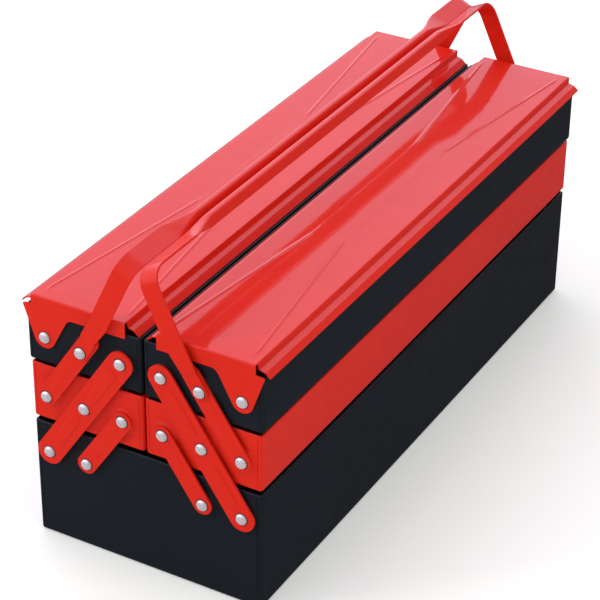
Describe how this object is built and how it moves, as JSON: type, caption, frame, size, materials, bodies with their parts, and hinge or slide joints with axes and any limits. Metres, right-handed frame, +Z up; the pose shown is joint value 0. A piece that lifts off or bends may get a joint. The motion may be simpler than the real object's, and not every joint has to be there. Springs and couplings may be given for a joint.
{
  "type": "cantilever tool box",
  "caption": "Steel cantilever tool box: base box, stacked trays on parallel arms that swing out to both sides, hinged lids and twin bail handles.",
  "frame": {"origin": "middle of the underside of the base box", "axes": "+Z up, +Y along the box's length, +X across the box towards the right-hand trays"},
  "size_m": [0.207, 0.539, 0.2627],
  "materials": {
    "red_paint": "glossy baked enamel on sheet steel",
    "black_paint": "satin baked enamel on sheet steel",
    "rivet_steel": "bright plated domed rivets"
  },
  "bodies": {
    "root": {"base_box": "black_paint", "base_rivets": "rivet_steel"},
    "right_long_arms": {"right_long_arm_front": "red_paint", "right_long_arm_rear": "red_paint"},
    "right_lower_links": {"right_lower_link_front": "red_paint", "right_lower_link_rear": "red_paint"},
    "right_mid_tray": {"right_mid_tray": "red_paint", "right_mid_dividers": "black_paint", "right_mid_rivets": "rivet_steel"},
    "right_handle": {"right_handle_grip": "red_paint", "right_handle_arm_front": "red_paint", "right_handle_arm_rear": "red_paint", "right_upper_link_front": "red_paint", "right_upper_link_rear": "red_paint"},
    "right_top_tray": {"right_top_tray": "black_paint", "right_top_dividers": "black_paint", "right_top_rivets": "rivet_steel", "right_lid_rivets": "rivet_steel"},
    "right_lid": {"right_lid": "red_paint"},
    "left_long_arms": {"left_long_arm_front": "red_paint", "left_long_arm_rear": "red_paint"},
    "left_lower_links": {"left_lower_link_front": "red_paint", "left_lower_link_rear": "red_paint"},
    "left_mid_tray": {"left_mid_tray": "red_paint", "left_mid_dividers": "black_paint", "left_mid_rivets": "rivet_steel"},
    "left_handle": {"left_handle_grip": "red_paint", "left_handle_arm_front": "red_paint", "left_handle_arm_rear": "red_paint", "left_upper_link_front": "red_paint", "left_upper_link_rear": "red_paint"},
    "left_top_tray": {"left_top_tray": "black_paint", "left_top_dividers": "black_paint", "left_top_rivets": "rivet_steel", "left_lid_rivets": "rivet_steel"},
    "left_lid": {"left_lid": "red_paint"}
  },
  "joints": [
    {"name": "right_open", "type": "hinge", "parent": "root", "child": "right_long_arms", "pos_m": [0.0825, 0, 0.0775], "axis": [0, 1, 0], "range_deg": [0, 70]},
    {"name": "right_lower_link_swing", "type": "hinge", "parent": "root", "child": "right_lower_links", "pos_m": [0.04975, 0, 0.0775], "axis": [0, 1, 0], "range_deg": [0, 70]},
    {"name": "right_mid_tray_level", "type": "hinge", "parent": "right_long_arms", "child": "right_mid_tray", "pos_m": [0.04975, 0, 0.12625], "axis": [0, 1, 0], "range_deg": [-70, 0]},
    {"name": "right_top_tray_level", "type": "hinge", "parent": "right_long_arms", "child": "right_top_tray", "pos_m": [0.017, 0, 0.175], "axis": [0, 1, 0], "range_deg": [-70, 0]},
    {"name": "right_handle_swing", "type": "hinge", "parent": "right_mid_tray", "child": "right_handle", "pos_m": [0.0825, 0, 0.12625], "axis": [0, 1, 0], "range_deg": [0, 70]},
    {"name": "right_lid_open", "type": "hinge", "parent": "right_top_tray", "child": "right_lid", "pos_m": [0.0825, 0, 0.176], "axis": [0, 1, 0], "range_deg": [0, 80]},
    {"name": "left_open", "type": "hinge", "parent": "root", "child": "left_long_arms", "pos_m": [-0.0825, 0, 0.0775], "axis": [0, -1, 0], "range_deg": [0, 70]},
    {"name": "left_lower_link_swing", "type": "hinge", "parent": "root", "child": "left_lower_links", "pos_m": [-0.04975, 0, 0.0775], "axis": [0, -1, 0], "range_deg": [0, 70]},
    {"name": "left_mid_tray_level", "type": "hinge", "parent": "left_long_arms", "child": "left_mid_tray", "pos_m": [-0.04975, 0, 0.12625], "axis": [0, -1, 0], "range_deg": [-70, 0]},
    {"name": "left_top_tray_level", "type": "hinge", "parent": "left_long_arms", "child": "left_top_tray", "pos_m": [-0.017, 0, 0.175], "axis": [0, -1, 0], "range_deg": [-70, 0]},
    {"name": "left_handle_swing", "type": "hinge", "parent": "left_mid_tray", "child": "left_handle", "pos_m": [-0.0825, 0, 0.12625], "axis": [0, -1, 0], "range_deg": [0, 70]},
    {"name": "left_lid_open", "type": "hinge", "parent": "left_top_tray", "child": "left_lid", "pos_m": [-0.0825, 0, 0.176], "axis": [0, -1, 0], "range_deg": [0, 80]}
  ],
  "couplings": [
    {"joint": "right_lower_link_swing", "follows": "right_open", "ratio": 1},
    {"joint": "right_mid_tray_level", "follows": "right_open", "ratio": -1},
    {"joint": "right_top_tray_level", "follows": "right_open", "ratio": -1},
    {"joint": "right_handle_swing", "follows": "right_open", "ratio": 1},
    {"joint": "left_lower_link_swing", "follows": "left_open", "ratio": 1},
    {"joint": "left_mid_tray_level", "follows": "left_open", "ratio": -1},
    {"joint": "left_top_tray_level", "follows": "left_open", "ratio": -1},
    {"joint": "left_handle_swing", "follows": "left_open", "ratio": 1}
  ]
}
